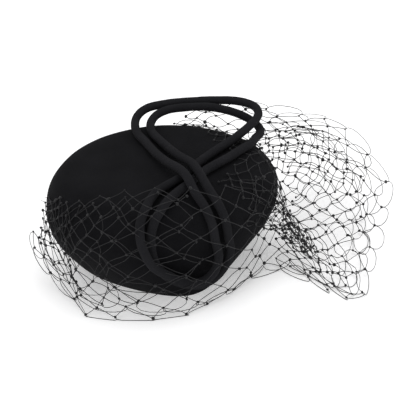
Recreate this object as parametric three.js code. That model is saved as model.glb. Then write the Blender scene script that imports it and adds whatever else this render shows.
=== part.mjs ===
// Felt pillbox hat with a bow of two felt rouleaux and a net veil.
// Millimetres, +Z up, front towards -Y. The origin is the middle of the head
// opening, on the surface that the hat rests on.
import * as THREE from 'three';

// ---- driving dimensions -------------------------------------------------
const CROWN_HEIGHT = 87.3;
const FELT_THICKNESS = 2.5;
// The wall leans out from the rim to the shoulder, then the dome closes it.
// egg narrows the front of a section when positive.
const RIM_SECTION = { z: 0, halfWidth: 65, halfLength: 56, centreY: 0, egg: 0.42 };
const SHOULDER_SECTION = { z: 58, halfWidth: 97, halfLength: 74, centreY: 11, egg: -0.07 };
const WALL_FULLNESS = 1.9; // how early the wall reaches the shoulder's size
const DOME_SQUARENESS = 0.28; // 1 is an ellipse, less is flatter with a tighter shoulder
// The dome is fuller at the back left: how much squarer, and at what angle from the front.
const FULL_SIDE = { squarer: 0.14, angle: -150 };
const ROULEAU_DIAMETER = 7.2;
const VEIL_THICKNESS = 1.4; // through the knots of the net
const MESH_COUNTS = {
  crownAround: 64, crownWall: 6, crownDome: 8,
  rouleauSteps: 84, rouleauSides: 9,
  veilPerRow: 2, veilOnCrown: 6, veilHanging: 6,
};

// ---- the two rouleaux of the bow ----------------------------------------
// Each is a closed figure of eight, listed from the right of the lower loop,
// up over the crossing, round the back loop and down the left of the front.
const LONG_ROULEAU_ROUTE = [
  [15, -66.5, 56], [13, -64.5, 71], [9, -57.5, 85], [5, -49, 93], [4, -37, 99.2], [3, -25, 99.8],
  [0, -9, 97], [-2, 17, 92.6], [-3, 38, 92], [-4, 56, 91.5], [1, 74, 92], [8, 82, 94],
  [17, 85, 96], [33, 83, 97.5], [50, 79, 98], [78, 70, 98], [93, 62, 97.5], [101, 51, 96.5],
  [99, 39, 95.5], [89, 29, 94.5], [73, 19, 92.8], [62, 13, 91.8], [43, 3, 91.5],
  [26, -7.5, 91.5], [4, -23.5, 91.3], [-21, -35, 91], [-35, -49, 88], [-43, -57, 80],
  [-46, -66, 70], [-44, -71, 60], [-38, -72, 48], [-25, -71.6, 36], [-12, -71, 25.5],
  [2, -71, 22.5], [13, -70, 29], [17, -69, 42],
];
const SHORT_ROULEAU_ROUTE = [
  [28, -66.5, 44], [26.5, -65, 56], [25, -63.7, 69.5], [21, -58.6, 83.2], [16.5, -48, 93],
  [15.5, -34, 98.5], [15, -19, 99.5], [12, 0, 96], [10.7, 21.5, 92.4], [8.5, 39, 91.8],
  [8, 53.5, 91.3], [12, 66, 92], [20, 73.5, 94], [31, 75, 96], [47.5, 71, 97], [63.5, 65, 97],
  [76.5, 58, 95], [86, 54, 91.5], [94, 49, 87.5], [99, 39, 84], [96, 28, 84], [88, 20, 85.5],
  [77, 6.5, 89.2], [68, 0.5, 90.6], [50.5, -9.7, 91.4], [26.4, -20.5, 91.5], [4, -35.5, 91.3],
  [-14, -45.5, 89.4], [-26, -54, 84.8], [-33.5, -59, 76.8], [-36.4, -62.2, 66.5], [-36, -63.5, 54],
  [-31, -63.4, 39], [-22, -63.7, 28], [-10, -64.5, 19.5], [3, -64.5, 15], [15, -64.5, 18],
  [24, -65, 28],
];

// ---- the veil ------------------------------------------------------------
// One row for each line that the net follows out from its sewn edge. angle is
// round the crown from the front, rise is how far up the dome the row starts
// in degrees or, below zero, how far down the wall in millimetres, lift is its
// height over the felt, spring is 0 where the net drops straight from the
// shoulder and 1 where it stands out, and foot is its free edge.
const VEIL_ROWS = [
  { angle: -92, rise: 38, lift: 3, spring: 0.6, foot: [-113, 15, 44] },
  { angle: -80, rise: 50, lift: 3, spring: 0.4, foot: [-108, 3, 24] },
  { angle: -68, rise: 54, lift: 4, spring: 0.1, foot: [-95, -24, 3] },
  { angle: -57, rise: 66, lift: 8, spring: 0, foot: [-85, -50, 3] },
  { angle: -45, rise: 76, lift: 16, spring: 0, foot: [-63, -68, 3] },
  { angle: -28, rise: 78, lift: 20, spring: 0, foot: [-40, -78, 3] },
  { angle: -12, rise: 76, lift: 19, spring: 0, foot: [-18, -84, 3] },
  { angle: 2, rise: 70, lift: 20, spring: 0, foot: [-1, -84, 3] },
  { angle: 15, rise: 66, lift: 18, spring: 0, foot: [18, -82, 3] },
  { angle: 29, rise: 64, lift: 13, spring: 0, foot: [38, -74, 3] },
  { angle: 42, rise: 54, lift: 7, spring: 0, foot: [60, -60, 3] },
  { angle: 52, rise: 38, lift: 5, spring: 0, foot: [82, -52, 3] },
  { angle: 60, rise: 20, lift: 4, spring: 0.2, foot: [95, -68, 3] },
  { angle: 68, rise: -4, lift: 4, spring: 0.5, foot: [108, -108, 3] },
  { angle: 76, rise: -16, lift: 4, spring: 0.7, foot: [124, -108, 3] },
  { angle: 84, rise: -22, lift: 4, spring: 0.8, foot: [147, -76, 4] },
  { angle: 92, rise: -22, lift: 4, spring: 0.9, foot: [176, -40, 10] },
  { angle: 99, rise: -18, lift: 4, spring: 1, foot: [200, -8, 26] },
  { angle: 105, rise: -14, lift: 4, spring: 1, foot: [196, 24, 42] },
  { angle: 110, rise: -10, lift: 4, spring: 1, foot: [186, 52, 56] },
  { angle: 114, rise: -6, lift: 4, spring: 1, foot: [160, 68, 66] },
  { angle: 118, rise: -2, lift: 4, spring: 1, foot: [130, 78, 74] },
];
const DROP_HEIGHT_SHARE = 0.35; // a hanging row's bend, as a share of the shoulder's height
const WALL_STRETCH = 3; // length of a wall row's sewn stretch
const SPRING_RISE = 8; // how far a standing row bows above a straight line

// ---- geometry helpers ----------------------------------------------------
const radians = THREE.MathUtils.degToRad;
const mix = THREE.MathUtils.lerp;

// A closed mesh from its points and triangles, turned so that its faces point out.
function closedGeometry(points, triangles) {
  let volume = 0;
  for (const [a, b, c] of triangles) {
    volume += points[a].dot(new THREE.Vector3().crossVectors(points[b], points[c]));
  }
  const turned = volume > 0 ? triangles : triangles.map(([a, b, c]) => [a, c, b]);
  const geometry = new THREE.BufferGeometry().setFromPoints(points);
  geometry.setIndex(turned.flat());
  geometry.computeVertexNormals();
  return geometry;
}

// Two triangles for each square between two neighbouring rows of points.
function bandTriangles(rowA, rowB, closed) {
  const triangles = [];
  const count = closed ? rowA.length : rowA.length - 1;
  for (let i = 0; i < count; i += 1) {
    const j = (i + 1) % rowA.length;
    triangles.push([rowA[i], rowA[j], rowB[j]], [rowA[i], rowB[j], rowB[i]]);
  }
  return triangles;
}

// A body of stacked closed rings between a first and a last single point.
function poleToPole(firstPole, rings, lastPole) {
  const points = [firstPole, ...rings.flat(), lastPole];
  const around = rings[0].length;
  const rows = rings.map((ring, k) => ring.map((_, i) => 1 + k * around + i));
  const triangles = [];
  rows[0].forEach((a, i) => triangles.push([0, rows[0][(i + 1) % around], a]));
  for (let k = 0; k + 1 < rows.length; k += 1) {
    triangles.push(...bandTriangles(rows[k], rows[k + 1], true));
  }
  const end = rows.at(-1);
  end.forEach((a, i) => triangles.push([points.length - 1, a, end[(i + 1) % around]]));
  return closedGeometry(points, triangles);
}

// A sheet of even thickness round a grid of points.
function thickSheet(grid, thickness) {
  const last = grid[0].length - 1;
  const normalAt = (i, j) => {
    const alongRows = grid[Math.min(i + 1, grid.length - 1)][j].clone().sub(grid[Math.max(i - 1, 0)][j]);
    const alongRow = grid[i][Math.min(j + 1, last)].clone().sub(grid[i][Math.max(j - 1, 0)]);
    return alongRows.cross(alongRow).normalize();
  };
  const rings = grid.map((row, i) => {
    const side = (sign) => row.map(
      (p, j) => p.clone().addScaledVector(normalAt(i, j), (sign * thickness) / 2),
    );
    return [...side(1), ...side(-1).reverse()];
  });
  const around = rings[0].length;
  const rows = rings.map((ring, k) => ring.map((_, i) => k * around + i));
  const triangles = [];
  for (let k = 0; k + 1 < rows.length; k += 1) {
    triangles.push(...bandTriangles(rows[k], rows[k + 1], true));
  }
  const capTriangles = (ids) => bandTriangles(ids.slice(0, last + 1), ids.slice(last + 1).reverse(), false);
  triangles.push(...capTriangles(rows[0]).map(([a, b, c]) => [a, c, b]), ...capTriangles(rows.at(-1)));
  return closedGeometry(rings.flat(), triangles);
}

// ---- crown ---------------------------------------------------------------
// A point of an egg-shaped section, at an angle from the front tip.
function eggPoint(section, angle, scale = 1) {
  const x = section.halfWidth * Math.sin(angle) * (1 - section.egg * Math.cos(angle));
  const y = section.centreY - section.halfLength * Math.cos(angle) * scale;
  return new THREE.Vector3(x * scale, y, section.z);
}

const grown = (section, by) => ({
  ...section, halfWidth: section.halfWidth + by, halfLength: section.halfLength + by,
});

// The wall's section at a share of the way from rim to shoulder, grown by an offset.
function wallSection(share, offset) {
  const out = 1 - (1 - share) ** WALL_FULLNESS;
  const section = { z: mix(RIM_SECTION.z, SHOULDER_SECTION.z, share) };
  for (const key of ['halfWidth', 'halfLength', 'centreY', 'egg']) {
    section[key] = mix(RIM_SECTION[key], SHOULDER_SECTION[key], out);
  }
  return grown(section, offset);
}

// A point of the dome: angle round it, rise from 0 at the shoulder to a right angle on top.
function domePoint(angle, rise, offset) {
  const fullSide = Math.max(0, Math.cos(angle - radians(FULL_SIDE.angle)));
  const squareness = DOME_SQUARENESS - FULL_SIDE.squarer * fullSide;
  const point = eggPoint(grown(SHOULDER_SECTION, offset), angle, Math.cos(rise) ** squareness);
  point.z = SHOULDER_SECTION.z + (CROWN_HEIGHT + offset - SHOULDER_SECTION.z) * Math.sin(rise);
  return point;
}

function crownGeometry() {
  const { crownAround, crownWall, crownDome } = MESH_COUNTS;
  const angles = Array.from({ length: crownAround }, (_, i) => (2 * Math.PI * i) / crownAround);
  const skinRings = (offset) => {
    const rings = [];
    for (let k = 0; k <= crownWall; k += 1) {
      const section = wallSection(k / crownWall, offset);
      rings.push(angles.map((a) => eggPoint(section, a)));
    }
    for (let k = 1; k < crownDome; k += 1) {
      // Rows crowd towards the shoulder, where the dome turns fastest.
      const rise = (Math.PI / 2) * Math.sin((Math.PI / 2) * (k / crownDome));
      rings.push(angles.map((a) => domePoint(a, rise, offset)));
    }
    return rings;
  };
  const top = (offset) => new THREE.Vector3(0, SHOULDER_SECTION.centreY, CROWN_HEIGHT + offset);
  const outside = skinRings(0).reverse();
  const inside = skinRings(-FELT_THICKNESS);
  return poleToPole(top(0), [...outside, ...inside], top(-FELT_THICKNESS));
}

// ---- rouleaux ------------------------------------------------------------
function rouleauGeometry(route) {
  const path = new THREE.CatmullRomCurve3(route.map((p) => new THREE.Vector3(...p)), true, 'centripetal');
  const { rouleauSteps, rouleauSides } = MESH_COUNTS;
  const frames = path.computeFrenetFrames(rouleauSteps, true);
  const rings = Array.from({ length: rouleauSteps }, (_, k) => {
    const centre = path.getPointAt(k / rouleauSteps);
    return Array.from({ length: rouleauSides }, (__, i) => {
      const turn = (2 * Math.PI * i) / rouleauSides;
      return centre.clone()
        .addScaledVector(frames.normals[k], (Math.cos(turn) * ROULEAU_DIAMETER) / 2)
        .addScaledVector(frames.binormals[k], (Math.sin(turn) * ROULEAU_DIAMETER) / 2);
    });
  });
  const rows = rings.map((ring, k) => ring.map((_, i) => k * rouleauSides + i));
  const triangles = rows.flatMap((row, k) => bandTriangles(row, rows[(k + 1) % rows.length], true));
  return closedGeometry(rings.flat(), triangles);
}

// ---- veil ----------------------------------------------------------------
// The line that one row of net follows, from its sewn edge to its free edge.
function veilLine({ angle, rise, lift, spring, foot }) {
  const { veilOnCrown, veilHanging } = MESH_COUNTS;
  const turn = radians(angle);
  const line = [];
  const start = eggPoint(wallSection(1 + Math.min(rise, 0) / SHOULDER_SECTION.z, lift), turn);
  for (let k = 0; k < veilOnCrown; k += 1) {
    // A row that starts on the wall closes up into a short first stretch there.
    const above = domePoint(turn, radians(Math.max(rise, 0)) * (1 - k / veilOnCrown), lift);
    line.push(rise > 0 ? above : start.clone().setZ(start.z + WALL_STRETCH * (1 - k / veilOnCrown)));
  }
  const end = new THREE.Vector3(...foot);
  const drop = start.clone().setZ(start.z * DROP_HEIGHT_SHARE);
  const stand = start.clone().lerp(end, 0.5).setZ(start.z + SPRING_RISE);
  const hanging = new THREE.QuadraticBezierCurve3(start, drop.lerp(stand, spring), end);
  line.push(...hanging.getPoints(veilHanging));
  return line;
}

function veilGeometry() {
  const lines = VEIL_ROWS.map(veilLine);
  const steps = (lines.length - 1) * MESH_COUNTS.veilPerRow;
  const columns = lines[0].map((_, j) => {
    const column = lines.map((line) => line[j]);
    return new THREE.CatmullRomCurve3(column, false, 'centripetal');
  });
  const grid = Array.from({ length: steps + 1 }, (_, i) => columns.map((curve) => curve.getPoint(i / steps)));
  return thickSheet(grid, VEIL_THICKNESS);
}

// ---- the hat -------------------------------------------------------------
const felt = new THREE.MeshStandardMaterial({ color: 0x17181a, roughness: 0.95, metalness: 0 });
const rouleauFelt = new THREE.MeshStandardMaterial({ color: 0x1a1b1d, roughness: 0.92, metalness: 0 });
const net = new THREE.MeshStandardMaterial({ color: 0x0c0c0e, roughness: 0.7, metalness: 0 });

function piece(name, geometry, material) {
  const mesh = new THREE.Mesh(geometry, material);
  mesh.name = name;
  return mesh;
}

const hat = new THREE.Group();
hat.add(piece('felt_crown', crownGeometry(), felt));
hat.add(piece('long_rouleau', rouleauGeometry(LONG_ROULEAU_ROUTE), rouleauFelt));
hat.add(piece('short_rouleau', rouleauGeometry(SHORT_ROULEAU_ROUTE), rouleauFelt));
hat.add(piece('net_veil', veilGeometry(), net));

export default hat;
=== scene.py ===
"""Black felt pillbox hat with a bow of two felt rouleaux and a knotted net veil."""

import math
import random

import bmesh
import bpy
import numpy as np
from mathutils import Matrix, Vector, noise


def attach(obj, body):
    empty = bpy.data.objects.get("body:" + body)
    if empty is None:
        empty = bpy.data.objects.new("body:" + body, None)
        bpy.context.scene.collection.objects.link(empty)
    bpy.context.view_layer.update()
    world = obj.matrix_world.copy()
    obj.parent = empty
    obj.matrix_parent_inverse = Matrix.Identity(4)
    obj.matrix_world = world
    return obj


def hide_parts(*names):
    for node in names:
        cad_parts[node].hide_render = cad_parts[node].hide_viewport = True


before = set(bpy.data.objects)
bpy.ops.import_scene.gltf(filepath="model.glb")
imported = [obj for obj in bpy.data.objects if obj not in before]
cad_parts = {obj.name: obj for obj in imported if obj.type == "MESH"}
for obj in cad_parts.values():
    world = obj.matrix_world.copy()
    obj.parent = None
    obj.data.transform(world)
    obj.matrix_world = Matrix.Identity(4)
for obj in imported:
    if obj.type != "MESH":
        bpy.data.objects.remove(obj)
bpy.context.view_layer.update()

MM = 0.001
SEED = 7
rng = random.Random(SEED)

# ---- sizes, in millimetres, the same as the CAD part's -------------------
CROWN_HEIGHT = 87.3
FELT_THICKNESS = 2.5
RIM = {"z": 0, "half_width": 65, "half_length": 56, "centre_y": 0, "egg": 0.42}
SHOULDER = {"z": 58, "half_width": 97, "half_length": 74, "centre_y": 11, "egg": -0.07}
WALL_FULLNESS = 1.9
DOME_SQUARENESS = 0.28
FULL_SIDE = {"squarer": 0.14, "angle": -150}  # the dome is fuller at the back left
CROWN_MIDDLE_HEIGHT = 40
DENT_SIZE, DENT_DEPTH = 34, 0.8  # the felt's slight unevenness
ROULEAU_RADIUS = 3.6
SEAM_ANGLE, SEAM_WIDTH, SEAM_DEPTH = 2.2, 0.16, 0.28  # radians round the tube, and millimetres deep
SWELL_SHARE, CREASE_DEPTH = 0.035, 0.1

# The routes of the two rouleaux, each a closed figure of eight.
LONG_ROULEAU_ROUTE = [
    (15, -66.5, 56), (13, -64.5, 71), (9, -57.5, 85), (5, -49, 93), (4, -37, 99.2), (3, -25, 99.8),
    (0, -9, 97), (-2, 17, 92.6), (-3, 38, 92), (-4, 56, 91.5), (1, 74, 92), (8, 82, 94),
    (17, 85, 96), (33, 83, 97.5), (50, 79, 98), (78, 70, 98), (93, 62, 97.5), (101, 51, 96.5),
    (99, 39, 95.5), (89, 29, 94.5), (73, 19, 92.8), (62, 13, 91.8), (43, 3, 91.5),
    (26, -7.5, 91.5), (4, -23.5, 91.3), (-21, -35, 91), (-35, -49, 88), (-43, -57, 80),
    (-46, -66, 70), (-44, -71, 60), (-38, -72, 48), (-25, -71.6, 36), (-12, -71, 25.5),
    (2, -71, 22.5), (13, -70, 29), (17, -69, 42),
]
SHORT_ROULEAU_ROUTE = [
    (28, -66.5, 44), (26.5, -65, 56), (25, -63.7, 69.5), (21, -58.6, 83.2), (16.5, -48, 93),
    (15.5, -34, 98.5), (15, -19, 99.5), (12, 0, 96), (10.7, 21.5, 92.4), (8.5, 39, 91.8),
    (8, 53.5, 91.3), (12, 66, 92), (20, 73.5, 94), (31, 75, 96), (47.5, 71, 97), (63.5, 65, 97),
    (76.5, 58, 95), (86, 54, 91.5), (94, 49, 87.5), (99, 39, 84), (96, 28, 84), (88, 20, 85.5),
    (77, 6.5, 89.2), (68, 0.5, 90.6), (50.5, -9.7, 91.4), (26.4, -20.5, 91.5), (4, -35.5, 91.3),
    (-14, -45.5, 89.4), (-26, -54, 84.8), (-33.5, -59, 76.8), (-36.4, -62.2, 66.5), (-36, -63.5, 54),
    (-31, -63.4, 39), (-22, -63.7, 28), (-10, -64.5, 19.5), (3, -64.5, 15), (15, -64.5, 18),
    (24, -65, 28),
]

# The lines that the net follows out from its sewn edge: angle round the crown
# from the front, rise up the dome where the line starts (or, below zero, the
# millimetres down the wall), lift over the felt, spring from 0 where it drops
# to 1 where it stands out, and its free edge.
VEIL_ROWS = [
    (-92, 38, 3, 0.6, (-113, 15, 44)),
    (-80, 50, 3, 0.4, (-108, 3, 24)),
    (-68, 54, 3, 0.1, (-92, -24, 2)),
    (-57, 66, 4, 0.0, (-86, -54, 1)),
    (-45, 76, 9, 0.0, (-66, -66, 1)),
    (-28, 78, 14, 0.0, (-42, -74, 1)),
    (-12, 76, 16, 0.0, (-22, -80, 1)),
    (2, 70, 17, 0.0, (-3, -74, 1)),
    (15, 66, 14, 0.0, (16, -72, 1)),
    (29, 64, 8, 0.0, (38, -62, 1)),
    (42, 58, 4, 0.0, (60, -50, 1)),
    (52, 42, 3, 0.0, (80, -50, 1)),
    (60, 20, 3, 0.2, (94, -66, 1)),
    (68, -12, 3, 0.5, (108, -110, 1)),
    (75, -30, 3, 0.7, (124, -110, 1)),
    (82, -40, 3, 0.8, (147, -76, 2)),
    (89, -40, 3, 0.9, (176, -40, 10)),
    (96, -30, 3, 1.0, (200, -8, 26)),
    (103, -18, 3, 1.0, (196, 24, 42)),
    (110, -10, 3, 1.0, (186, 52, 56)),
    (117, -8, 3, 1.0, (160, 68, 66)),
    (124, -8, 3, 1.0, (130, 78, 74)),
    (131, -8, 3, 1.0, (104, 86, 80)),
    (138, -8, 3, 1.0, (78, 92, 84)),
    (146, -8, 3, 1.0, (48, 92, 84)),
]
# A second, loose sheet of the net lies on the top, under the bow's back loop.
TOP_NET_ROWS = [
    (25, 76, 2.5, 0.5, (52, -62, 44)),
    (45, 78, 2.5, 0.5, (86, -44, 40)),
    (70, 80, 2.0, 0.6, (108, -14, 44)),
    (95, 82, 1.5, 0.7, (114, 22, 50)),
    (115, 80, 1.5, 0.8, (104, 58, 62)),
    (135, 74, 1.5, 0.9, (78, 84, 74)),
    (155, 66, 1.5, 0.9, (46, 96, 80)),
]
DROP_HEIGHT_SHARE = 0.35  # how high a dropping line bends, as a share of its start
SPRING_RISE = 8  # how far above its start a standing line bends
NET_WIDTH = 150
STRAND_RADIUS = 0.28
KNOT_RADIUS = 1.2
EDGE_LOOP_SHARE = 0.3  # how far a loop at the free edge stands out, as a share of its width
KNOT_CLEARANCE = 1.9  # least height of a knot's middle over the floor
THREAD_CLEARANCE = 0.4  # least height of a thread's middle over the floor
LOOSE_END_CHANCE = 0.7
# How far a knot strays from its place: along the net and in space in
# millimetres, and as a share of the way across.
ALONG_JITTER, ACROSS_JITTER, KNOT_JITTER = 2.5, 0.02, 0.9
PLEAT_SHIFT = 0.37  # turns between one fold's pleats and the next fold's
PLEAT_HEIGHT_SHARE = 0.6
PUFF_SIZE = 40
STRAND_CURL = 0.012  # the S in a thread, as a share of its length

# The folds of net that lie over each other: the rows each runs between, the
# side of its meshes, net gathered into each length of edge, how far its
# pleats swing and how many there are, how much it puffs, how far it lies
# behind the first, the share across where it starts and stops, and how much
# its threads bow.
NET_FOLDS = [
    {"rows": (0, 12.6), "mesh": 19, "fullness": 1.05, "swing": 0, "pleats": 0, "puff": 2, "behind": 0,
     "across": (0, 1), "bow": 0.05},
    {"rows": (0, 6.5), "mesh": 17, "fullness": 1.3, "swing": 6, "pleats": 3, "puff": 4, "behind": 1.5,
     "across": (0.05, 0.85), "bow": 0.08},
    {"rows": (11, 24.5), "mesh": 18.5, "fullness": 1.0, "swing": 3, "pleats": 4, "puff": 8, "behind": 0,
     "across": (0.2, 1), "bow": 0.16},
    {"rows": (9.5, 15.2), "mesh": 12, "fullness": 0.65, "swing": 7, "pleats": 3, "puff": 16, "behind": 5,
     "across": (0, 0.5), "bow": 0.22},
    {"rows": (13.5, 19.8), "mesh": 17, "fullness": 0.95, "swing": 5, "pleats": 2, "puff": 12, "behind": 7,
     "across": (0.25, 0.88), "bow": 0.18},
    {"rows": (16.8, 20.8), "mesh": 15, "fullness": 1.0, "swing": 5, "pleats": 2, "puff": 10, "behind": -4,
     "across": (0.3, 0.8), "bow": 0.18},
]
TOP_NET_FOLD = {"rows": (0, 6), "mesh": 18, "fullness": 1.1, "swing": 5, "pleats": 3, "puff": 3, "behind": 0,
                "across": (0, 0.8), "bow": 0.08}

# Each soft light: its name, place, aim and size in metres, and power in watts.
LIGHTS = [
    ("overhead", (0.1, 0.25, 1.6), (0.03, 0.02, 0.05), 1.2, 6),
    ("right_fill", (1.2, -0.5, 0.35), (0.05, 0, 0.02), 0.7, 1.5),
    ("left", (-1.3, -0.5, 1.1), (0, 0, 0.05), 0.9, 5),
]
SKY_STRENGTH = 0.75
FLOOR_GLOW = 0.27  # lifts the shadow on the white floor
FLOOR_HALF = 4000

CAMERA_AZIMUTH = -20
CAMERA_ELEVATION = 35
CAMERA_DISTANCE = 1100
CAMERA_PIVOT = (0, 18, 0)
CAMERA_AIM = (45.2, 20.6, 25.6)
CAMERA_LENS = 112


# ---- shape functions -----------------------------------------------------
def mix(a, b, t):
    return a + (b - a) * t


def egg_point(section, angle, scale=1.0, offset=0.0):
    width = section["half_width"] + offset
    length = section["half_length"] + offset
    x = width * math.sin(angle) * (1 - section["egg"] * math.cos(angle))
    return np.array([x * scale, section["centre_y"] - length * math.cos(angle) * scale, section["z"]])


def wall_point(angle, share, offset=0.0):
    out = 1 - (1 - share) ** WALL_FULLNESS
    section = {key: mix(RIM[key], SHOULDER[key], out) for key in RIM}
    section["z"] = mix(RIM["z"], SHOULDER["z"], share)
    return egg_point(section, angle, 1.0, offset)


def dome_point(angle, rise, offset=0.0):
    full_side = max(0.0, math.cos(angle - math.radians(FULL_SIDE["angle"])))
    squareness = DOME_SQUARENESS - FULL_SIDE["squarer"] * full_side
    point = egg_point(SHOULDER, angle, max(math.cos(rise), 0.0) ** squareness, offset)
    point[2] = SHOULDER["z"] + (CROWN_HEIGHT + offset - SHOULDER["z"]) * math.sin(rise)
    return point


def smooth_path(points, samples, closed):
    """Evenly spaced points on a centripetal Catmull-Rom curve."""
    pts = [np.array(p, float) for p in points]
    count = len(pts)
    dense = []
    spans = count if closed else count - 1
    for i in range(spans):
        quad = []
        for k in (-1, 0, 1, 2):
            j = (i + k) % count if closed else min(max(i + k, 0), count - 1)
            quad.append(pts[j])
        if not closed and i == 0:
            quad[0] = 2 * pts[0] - pts[1]
        if not closed and i == spans - 1:
            quad[3] = 2 * pts[-1] - pts[-2]
        knots = [0.0]
        for a, b in zip(quad, quad[1:]):
            knots.append(knots[-1] + max(np.linalg.norm(b - a), 1e-6) ** 0.5)
        for t in np.linspace(knots[1], knots[2], 12, endpoint=False):
            level = quad
            for depth in (1, 2, 3):
                level = [
                    level[m] + (level[m + 1] - level[m]) * (t - knots[m]) / (knots[m + depth] - knots[m])
                    for m in range(len(level) - 1)
                ]
            dense.append(level[0])
    dense.append(pts[0] if closed else pts[-1])
    dense = np.array(dense)
    length = np.concatenate([[0], np.cumsum(np.linalg.norm(np.diff(dense, axis=0), axis=1))])
    wanted = np.linspace(0, length[-1], samples, endpoint=not closed)
    return np.stack([np.interp(wanted, length, dense[:, k]) for k in range(3)], axis=1)


def veil_line(row, samples):
    """The line that one row of net follows, evenly spaced."""
    angle, rise, lift, spring, foot = row
    turn = math.radians(angle)
    points = []
    start = wall_point(turn, 1 + min(rise, 0) / SHOULDER["z"], lift)
    if rise > 0:
        points = [dome_point(turn, math.radians(rise) * (1 - k / 8), lift) for k in range(8)]
    end = np.array(foot, float)
    drop = np.array([start[0], start[1], start[2] * DROP_HEIGHT_SHARE])
    stand = (start + end) / 2
    stand[2] = start[2] + SPRING_RISE
    bend = mix(drop, stand, spring)
    for t in np.linspace(0, 1, 10):
        points.append((1 - t) ** 2 * start + 2 * t * (1 - t) * bend + t * t * end)
    points = np.array(points)
    length = np.concatenate([[0], np.cumsum(np.linalg.norm(np.diff(points, axis=0), axis=1))])
    wanted = np.linspace(0, length[-1], samples)
    return np.stack([np.interp(wanted, length, points[:, k]) for k in range(3)], axis=1)


# ---- mesh helpers --------------------------------------------------------
def new_object(name, vertices, faces, material, smooth=True):
    mesh = bpy.data.meshes.new(name)
    mesh.from_pydata([tuple(float(c) * MM for c in v) for v in vertices], [], faces)
    mesh.validate()
    for polygon in mesh.polygons:
        polygon.use_smooth = smooth
    mesh.materials.append(material)
    obj = bpy.data.objects.new(name, mesh)
    bpy.context.scene.collection.objects.link(obj)
    return obj


def face_out(obj):
    bm = bmesh.new()
    bm.from_mesh(obj.data)
    bmesh.ops.recalc_face_normals(bm, faces=bm.faces)
    bm.to_mesh(obj.data)
    bm.free()


class Tubes:
    """Collects thin tubes and small knots into one mesh."""

    def __init__(self):
        self.vertices = []
        self.faces = []

    def tube(self, points, radius, sides=4, taper=False):
        points = np.asarray(points, float)
        tangents = np.gradient(points, axis=0)
        normal = np.cross(tangents[0], (0.31, 0.52, 0.8))
        normal /= np.linalg.norm(normal) + 1e-9
        base = len(self.vertices)
        for k, (point, tangent) in enumerate(zip(points, tangents)):
            tangent = tangent / (np.linalg.norm(tangent) + 1e-9)
            normal = normal - tangent * np.dot(normal, tangent)
            normal /= np.linalg.norm(normal) + 1e-9
            side = np.cross(tangent, normal)
            r = radius * (1 - 0.6 * k / (len(points) - 1)) if taper else radius
            for i in range(sides):
                a = 2 * math.pi * i / sides
                self.vertices.append(point + r * (math.cos(a) * normal + math.sin(a) * side))
        for k in range(len(points) - 1):
            for i in range(sides):
                j = (i + 1) % sides
                a, b = base + k * sides, base + (k + 1) * sides
                self.faces.append((a + i, a + j, b + j, b + i))
        self.faces.append(tuple(base + i for i in reversed(range(sides))))
        last = base + (len(points) - 1) * sides
        self.faces.append(tuple(last + i for i in range(sides)))

    def knot(self, centre, radius):
        """A small lumpy bead where two strands are tied."""
        base = len(self.vertices)
        rings, sides = 3, 6
        stretch = np.array([rng.uniform(0.75, 1.25) for _ in range(3)]) * radius
        spin = rng.uniform(0, math.tau)
        self.vertices.append(centre + stretch * (0, 0, 1))
        for r in range(1, rings + 1):
            polar = math.pi * r / (rings + 1)
            for i in range(sides):
                a = spin + 2 * math.pi * i / sides
                lump = rng.uniform(0.85, 1.15)
                level = math.sin(polar)
                direction = np.array([level * math.cos(a), level * math.sin(a), math.cos(polar)])
                self.vertices.append(centre + stretch * direction * lump)
        self.vertices.append(centre - stretch * (0, 0, 1))
        for i in range(sides):
            j = (i + 1) % sides
            self.faces.append((base, base + 1 + i, base + 1 + j))
            for r in range(rings - 1):
                a, b = base + 1 + r * sides, base + 1 + (r + 1) * sides
                self.faces.append((a + i, b + i, b + j, a + j))
            end = base + 1 + (rings - 1) * sides
            self.faces.append((end + i, base + 1 + rings * sides, end + j))


# ---- materials -----------------------------------------------------------
def principled(name):
    material = bpy.data.materials.new(name)
    material.use_nodes = True
    tree = material.node_tree
    return material, tree, tree.nodes["Principled BSDF"]


def felt_material(name, base, light, nap_scale, bump):
    """Blocked wool felt: matted fibres, faint cloudiness, and a soft nap."""
    material, tree, shader = principled(name)
    coords = tree.nodes.new("ShaderNodeTexCoord")
    cloud = tree.nodes.new("ShaderNodeTexNoise")
    cloud.inputs["Scale"].default_value = 45
    cloud.inputs["Detail"].default_value = 5
    fibre = tree.nodes.new("ShaderNodeTexNoise")
    fibre.inputs["Scale"].default_value = nap_scale
    fibre.inputs["Detail"].default_value = 6
    fibre.inputs["Roughness"].default_value = 0.75
    fibre.inputs["Distortion"].default_value = 1.6
    blend = tree.nodes.new("ShaderNodeMath")
    blend.operation = "MULTIPLY_ADD"
    blend.inputs[1].default_value = 0.45
    ramp = tree.nodes.new("ShaderNodeValToRGB")
    ramp.color_ramp.elements[0].position = 0.35
    ramp.color_ramp.elements[0].color = (*base, 1)
    ramp.color_ramp.elements[1].position = 1.0
    ramp.color_ramp.elements[1].color = (*light, 1)
    height = tree.nodes.new("ShaderNodeBump")
    height.inputs["Strength"].default_value = bump
    height.inputs["Distance"].default_value = 0.0004
    tree.links.new(coords.outputs["Object"], cloud.inputs["Vector"])
    tree.links.new(coords.outputs["Object"], fibre.inputs["Vector"])
    tree.links.new(cloud.outputs["Fac"], blend.inputs[0])
    tree.links.new(fibre.outputs["Fac"], blend.inputs[2])
    tree.links.new(blend.outputs[0], ramp.inputs["Fac"])
    tree.links.new(ramp.outputs["Color"], shader.inputs["Base Color"])
    tree.links.new(fibre.outputs["Fac"], height.inputs["Height"])
    tree.links.new(height.outputs["Normal"], shader.inputs["Normal"])
    shader.inputs["Roughness"].default_value = 0.95
    shader.inputs["Specular IOR Level"].default_value = 0.04
    shader.inputs["Sheen Weight"].default_value = 0.01
    shader.inputs["Sheen Roughness"].default_value = 0.6
    return material


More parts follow.
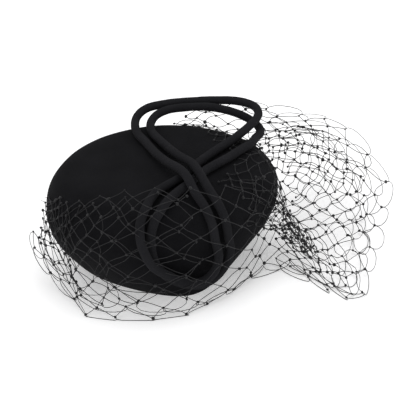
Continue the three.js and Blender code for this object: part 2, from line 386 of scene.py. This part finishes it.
def thread_material(name):
    """Stiff black thread, twisted, with a faint shine."""
    material, tree, shader = principled(name)
    coords = tree.nodes.new("ShaderNodeTexCoord")
    twist = tree.nodes.new("ShaderNodeTexNoise")
    twist.inputs["Scale"].default_value = 900
    twist.inputs["Detail"].default_value = 3
    ramp = tree.nodes.new("ShaderNodeValToRGB")
    ramp.color_ramp.elements[0].color = (0.003, 0.003, 0.0035, 1)
    ramp.color_ramp.elements[1].color = (0.018, 0.018, 0.020, 1)
    height = tree.nodes.new("ShaderNodeBump")
    height.inputs["Strength"].default_value = 0.4
    height.inputs["Distance"].default_value = 0.0001
    tree.links.new(coords.outputs["Object"], twist.inputs["Vector"])
    tree.links.new(twist.outputs["Fac"], ramp.inputs["Fac"])
    tree.links.new(ramp.outputs["Color"], shader.inputs["Base Color"])
    tree.links.new(twist.outputs["Fac"], height.inputs["Height"])
    tree.links.new(height.outputs["Normal"], shader.inputs["Normal"])
    shader.inputs["Roughness"].default_value = 0.5
    shader.inputs["Specular IOR Level"].default_value = 0.3
    return material


# ---- pieces --------------------------------------------------------------
def undulation(point, size, amount):
    """A smooth small displacement for hand-blocked felt."""
    return noise.noise(Vector(point) / size) * amount


def make_crown(material):
    around, wall_rows, dome_rows = 192, 26, 30
    angles = [math.tau * i / around for i in range(around)]

    def skin(offset):
        rows = []
        for k in range(wall_rows + 1):
            rows.append([wall_point(a, k / wall_rows, offset) for a in angles])
        for k in range(1, dome_rows):
            rise = math.pi / 2 * math.sin(math.pi / 2 * k / dome_rows)
            rows.append([dome_point(a, rise, offset) for a in angles])
        for row in rows[1:]:
            for point in row:
                direction = point - np.array([0, SHOULDER["centre_y"], CROWN_MIDDLE_HEIGHT])
                direction /= np.linalg.norm(direction)
                point += direction * undulation(point, DENT_SIZE, DENT_DEPTH)
        return rows

    outside = skin(0)
    inside = skin(-FELT_THICKNESS)
    # The cut edge of the felt is a flat band of three rings between the outside and the inside.
    edge = []
    for t in (0.2, 0.5, 0.8):
        edge.append([mix(o, i, t) for o, i in zip(outside[0], inside[0])])
    rings = outside[::-1] + edge + inside
    vertices = [np.array([0, SHOULDER["centre_y"], CROWN_HEIGHT])]
    for ring in rings:
        vertices.extend(ring)
    vertices.append(np.array([0, SHOULDER["centre_y"], CROWN_HEIGHT - FELT_THICKNESS]))
    faces = []
    for i in range(around):
        faces.append((0, 1 + (i + 1) % around, 1 + i))
    for k in range(len(rings) - 1):
        a, b = 1 + k * around, 1 + (k + 1) * around
        for i in range(around):
            j = (i + 1) % around
            faces.append((a + i, a + j, b + j, b + i))
    last = 1 + (len(rings) - 1) * around
    for i in range(around):
        faces.append((last + i, last + (i + 1) % around, len(vertices) - 1))
    obj = new_object("crown", vertices, faces, material)
    face_out(obj)
    return obj


def make_rouleau(name, route, material, seed):
    """A felt tube, a little soft and uneven, with its seam as a shallow groove."""
    steps, sides = 420, 22
    path = smooth_path(route, steps, True)
    tangents = np.roll(path, -1, axis=0) - np.roll(path, 1, axis=0)
    tangents /= np.linalg.norm(tangents, axis=1)[:, None]
    normal = np.cross(tangents[0], (0, 0, 1))
    normal /= np.linalg.norm(normal)
    normals = []
    for tangent in tangents:
        normal = normal - tangent * np.dot(normal, tangent)
        normal /= np.linalg.norm(normal)
        normals.append(normal.copy())
    # Spread the mismatch of the last frame over the whole loop.
    end = normals[-1] - tangents[0] * np.dot(normals[-1], tangents[0])
    slip = math.atan2(np.dot(np.cross(normals[0], end), tangents[0]), np.dot(normals[0], end))
    vertices = []
    for k in range(steps):
        turn = -slip * k / steps
        side = np.cross(tangents[k], normals[k])
        u = math.cos(turn) * normals[k] + math.sin(turn) * side
        w = np.cross(tangents[k], u)
        swell = 1 + SWELL_SHARE * noise.noise(Vector((k * 0.11, seed, 0)))
        for i in range(sides):
            a = math.tau * i / sides
            direction = math.cos(a) * u + math.sin(a) * w
            crease = noise.noise(Vector((k * 0.35, math.cos(a) * 1.2, math.sin(a) * 1.2 + seed)))
            seam = SEAM_DEPTH * math.exp(-((a - SEAM_ANGLE) / SEAM_WIDTH) ** 2)
            vertices.append(path[k] + direction * (ROULEAU_RADIUS * swell + CREASE_DEPTH * crease - seam))
    faces = []
    for k in range(steps):
        a, b = k * sides, (k + 1) % steps * sides
        for i in range(sides):
            j = (i + 1) % sides
            faces.append((a + i, a + j, b + j, b + i))
    obj = new_object(name, vertices, faces, material)
    face_out(obj)
    return obj


class NetSurface:
    """The veil's surface: a share along its free edge, and a share across it."""

    ACROSS = 24
    ALONG = 400

    def __init__(self, rows):
        lines = [veil_line(row, self.ACROSS + 1) for row in rows]
        self.row_count = len(rows)
        self.grid = np.stack([self.by_row(lines, j) for j in range(self.ACROSS + 1)], axis=1)
        free = self.grid[:, -1]
        steps = np.linalg.norm(np.diff(free, axis=0), axis=1)
        self.along = np.concatenate([[0], np.cumsum(steps)])

    def by_row(self, lines, j):
        points = np.array([line[j] for line in lines])
        index = np.linspace(0, len(lines) - 1, self.ALONG + 1)
        result = []
        for t in index:
            i = min(int(t), len(lines) - 2)
            f = t - i
            p0, p1 = points[max(i - 1, 0)], points[i]
            p2, p3 = points[i + 1], points[min(i + 2, len(points) - 1)]
            result.append(0.5 * (2 * p1 + (p2 - p0) * f + (2 * p0 - 5 * p1 + 4 * p2 - p3) * f * f
                                 + (3 * p1 - p0 - 3 * p2 + p3) * f ** 3))
        return np.array(result)

    def distance(self, row):
        """How far along the free edge a row number lies."""
        place = row / (self.row_count - 1) * self.ALONG
        return float(np.interp(place, np.arange(len(self.along)), self.along))

    def at(self, s, v):
        """The point at distance s along the free edge and share v across, and its normal."""
        s = min(max(s, 0.0), self.along[-1])
        row = np.interp(s, self.along, np.arange(len(self.along)))
        col = min(max(v, 0.0), 1.0) * self.ACROSS
        i, j = min(int(row), self.ALONG - 1), min(int(col), self.ACROSS - 1)
        f, g = row - i, col - j
        a, b = self.grid[i, j], self.grid[i + 1, j]
        c, d = self.grid[i, j + 1], self.grid[i + 1, j + 1]
        point = (a * (1 - f) + b * f) * (1 - g) + (c * (1 - f) + d * f) * g
        normal = np.cross(c - a, b - a)
        size = np.linalg.norm(normal)
        if size < 1e-9:
            return point, np.array([0, 0, 1.0])
        normal /= size
        return point, normal


def lay_net(tubes, surface, fold, number):
    """Tie one fold of net: knots on a slanted grid over the surface, and threads between them."""
    half = fold["mesh"] / math.sqrt(2)
    start, stop = (surface.distance(row) for row in fold["rows"])
    low, high = fold["across"]
    columns = int((stop - start) * fold["fullness"] / half)
    rows = int(NET_WIDTH * (high - low) / half)
    nodes = {}
    for i in range(columns + 1):
        for j in range(rows + 1):
            if (i + j) % 2:
                continue
            share = i / columns
            v = mix(low, high, j / rows)
            # The pleats open out from the sewn edge, where v is 0, to the free edge.
            pleat = math.tau * (share * fold["pleats"] + PLEAT_SHIFT * number)
            s = mix(start, stop, share) + fold["swing"] * math.sin(pleat) * (0.3 + v)
            s += rng.uniform(-ALONG_JITTER, ALONG_JITTER)
            point, normal = surface.at(s, v + rng.uniform(-ACROSS_JITTER, ACROSS_JITTER))
            puff = noise.noise(Vector((s / PUFF_SIZE, v * 3, number * 5.3)))
            wave = puff * fold["puff"] * (0.15 + v)
            wave += fold["swing"] * PLEAT_HEIGHT_SHARE * math.cos(pleat) * v - fold["behind"]
            jitter = np.array([rng.uniform(-KNOT_JITTER, KNOT_JITTER) for _ in range(3)])
            point = point + normal * wave + jitter
            point[2] = max(point[2], KNOT_CLEARANCE)
            nodes[i, j] = point
    for (i, j), a in nodes.items():
        tubes.knot(a, KNOT_RADIUS * rng.uniform(0.75, 1.2))
        for di in (-1, 1):
            b = nodes.get((i + di, j + 1))
            if b is not None:
                tubes.tube(strand(a, b, fold["bow"]), STRAND_RADIUS)
        if start == 0 and i < 2 and rng.random() < LOOSE_END_CHANCE:
            loose_end(tubes, a)
        beside, below = nodes.get((i + 2, j)), nodes.get((i + 1, j - 1))
        if j >= rows - 1 and beside is not None and below is not None:
            edge_loop(tubes, a, beside, below)


def make_net(material):
    tubes = Tubes()
    veil_surface = NetSurface(VEIL_ROWS)
    for number, fold in enumerate(NET_FOLDS):
        lay_net(tubes, veil_surface, fold, number)
    lay_net(tubes, NetSurface(TOP_NET_ROWS), TOP_NET_FOLD, len(NET_FOLDS))
    return new_object("veil", tubes.vertices, tubes.faces, material)


def strand(a, b, bow_share):
    """A thread between two knots, bowed a little out of line."""
    length = np.linalg.norm(b - a)
    bow = np.array([rng.gauss(0, 1) for _ in range(3)])
    bow *= bow_share * length / (np.linalg.norm(bow) + 1e-9)
    curl = np.array([rng.gauss(0, 1) for _ in range(3)]) * STRAND_CURL * length
    points = []
    for t in np.linspace(0, 1, 6):
        point = mix(a, b, t) + bow * math.sin(math.pi * t) + curl * math.sin(math.tau * t)
        point[2] = max(point[2], THREAD_CLEARANCE)
        points.append(point)
    return points


def edge_loop(tubes, a, b, below):
    """The round loop of thread that ends a row of meshes at the free edge."""
    middle = (a + b) / 2
    outward = middle - below
    outward *= EDGE_LOOP_SHARE * np.linalg.norm(b - a) / (np.linalg.norm(outward) + 1e-9)
    outward *= rng.uniform(0.6, 1.3)
    points = []
    for t in np.linspace(0, 1, 9):
        swell = math.sin(math.pi * t)
        point = middle + (a - middle) * math.cos(math.pi * t) * (1 + 0.25 * swell) + outward * swell
        point[2] = max(point[2], THREAD_CLEARANCE)
        points.append(point)
    tubes.tube(points, STRAND_RADIUS)


def loose_end(tubes, start):
    """A cut thread that sticks out past the last knot."""
    direction = np.array([rng.uniform(-1, 1), rng.uniform(-1, 1), rng.uniform(-0.2, 0.6)])
    direction /= np.linalg.norm(direction)
    bend = np.array([rng.uniform(-1, 1), rng.uniform(-1, 1), rng.uniform(-0.5, 0.5)])
    length = rng.uniform(3, 7)
    points = [start + direction * length * t + bend * 1.5 * t * t for t in np.linspace(0, 1, 5)]
    for point in points:
        point[2] = max(point[2], THREAD_CLEARANCE)
    tubes.tube(points, STRAND_RADIUS * 0.8, taper=True)


# ---- staging -------------------------------------------------------------
def make_floor():
    material, _tree, shader = principled("floor")
    shader.inputs["Base Color"].default_value = (0.92, 0.92, 0.925, 1)
    shader.inputs["Roughness"].default_value = 0.8
    shader.inputs["Specular IOR Level"].default_value = 0.1
    shader.inputs["Emission Color"].default_value = (1, 1, 1, 1)
    shader.inputs["Emission Strength"].default_value = FLOOR_GLOW
    half = FLOOR_HALF
    obj = new_object("floor", [(-half, -half, 0), (half, -half, 0), (half, half, 0), (-half, half, 0)],
                     [(0, 1, 2, 3)], material, smooth=False)


def area_light(name, place, aim, size, power):
    data = bpy.data.lights.new(name, "AREA")
    data.shape = "DISK"
    data.size = size
    data.energy = power
    obj = bpy.data.objects.new(name, data)
    obj.location = place
    obj.rotation_euler = (Vector(aim) - Vector(place)).to_track_quat("-Z", "Y").to_euler()
    bpy.context.scene.collection.objects.link(obj)


def make_lights():
    world = bpy.data.worlds.new("studio")
    world.use_nodes = True
    world.node_tree.nodes["Background"].inputs["Color"].default_value = (1, 1, 1, 1)
    world.node_tree.nodes["Background"].inputs["Strength"].default_value = SKY_STRENGTH
    bpy.context.scene.world = world
    bpy.context.scene.view_settings.view_transform = "Standard"
    for name, place, aim, size, power in LIGHTS:
        area_light(name, place, aim, size, power)


def make_camera():
    azimuth, elevation = math.radians(CAMERA_AZIMUTH), math.radians(CAMERA_ELEVATION)
    back = Vector((math.sin(azimuth) * math.cos(elevation), -math.cos(azimuth) * math.cos(elevation),
                   math.sin(elevation)))
    place = (Vector(CAMERA_PIVOT) + back * CAMERA_DISTANCE) * MM
    data = bpy.data.cameras.new("camera")
    data.lens = CAMERA_LENS
    data.sensor_width = 36
    data.clip_start = 0.01
    camera = bpy.data.objects.new("camera", data)
    camera.location = place
    camera.rotation_euler = (Vector(CAMERA_AIM) * MM - place).to_track_quat("-Z", "Y").to_euler()
    bpy.context.scene.collection.objects.link(camera)
    bpy.context.scene.camera = camera


make_camera()
make_lights()
make_floor()

crown_felt = felt_material("crown_felt", (0.0020, 0.0020, 0.0025), (0.0105, 0.0105, 0.0120), 900, 0.9)
# The rouleaux's felt colours are painted lighter than the crown's: the lift is painted light for the light
# the bow's back loop catches from behind.
rouleau_felt = felt_material("rouleau_felt", (0.0048, 0.0048, 0.0056), (0.0190, 0.0190, 0.0215), 1100, 0.9)
net_thread = thread_material("net_thread")

crown = make_crown(crown_felt)
long_rouleau = make_rouleau("outer_loop_rouleau", LONG_ROULEAU_ROUTE, rouleau_felt, 1.0)
short_rouleau = make_rouleau("inner_loop_rouleau", SHORT_ROULEAU_ROUTE, rouleau_felt, 5.0)
veil = make_net(net_thread)

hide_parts("felt_crown")
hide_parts("long_rouleau")
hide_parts("short_rouleau")
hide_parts("net_veil")
for piece in (crown, long_rouleau, short_rouleau, veil):
    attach(piece, "root")
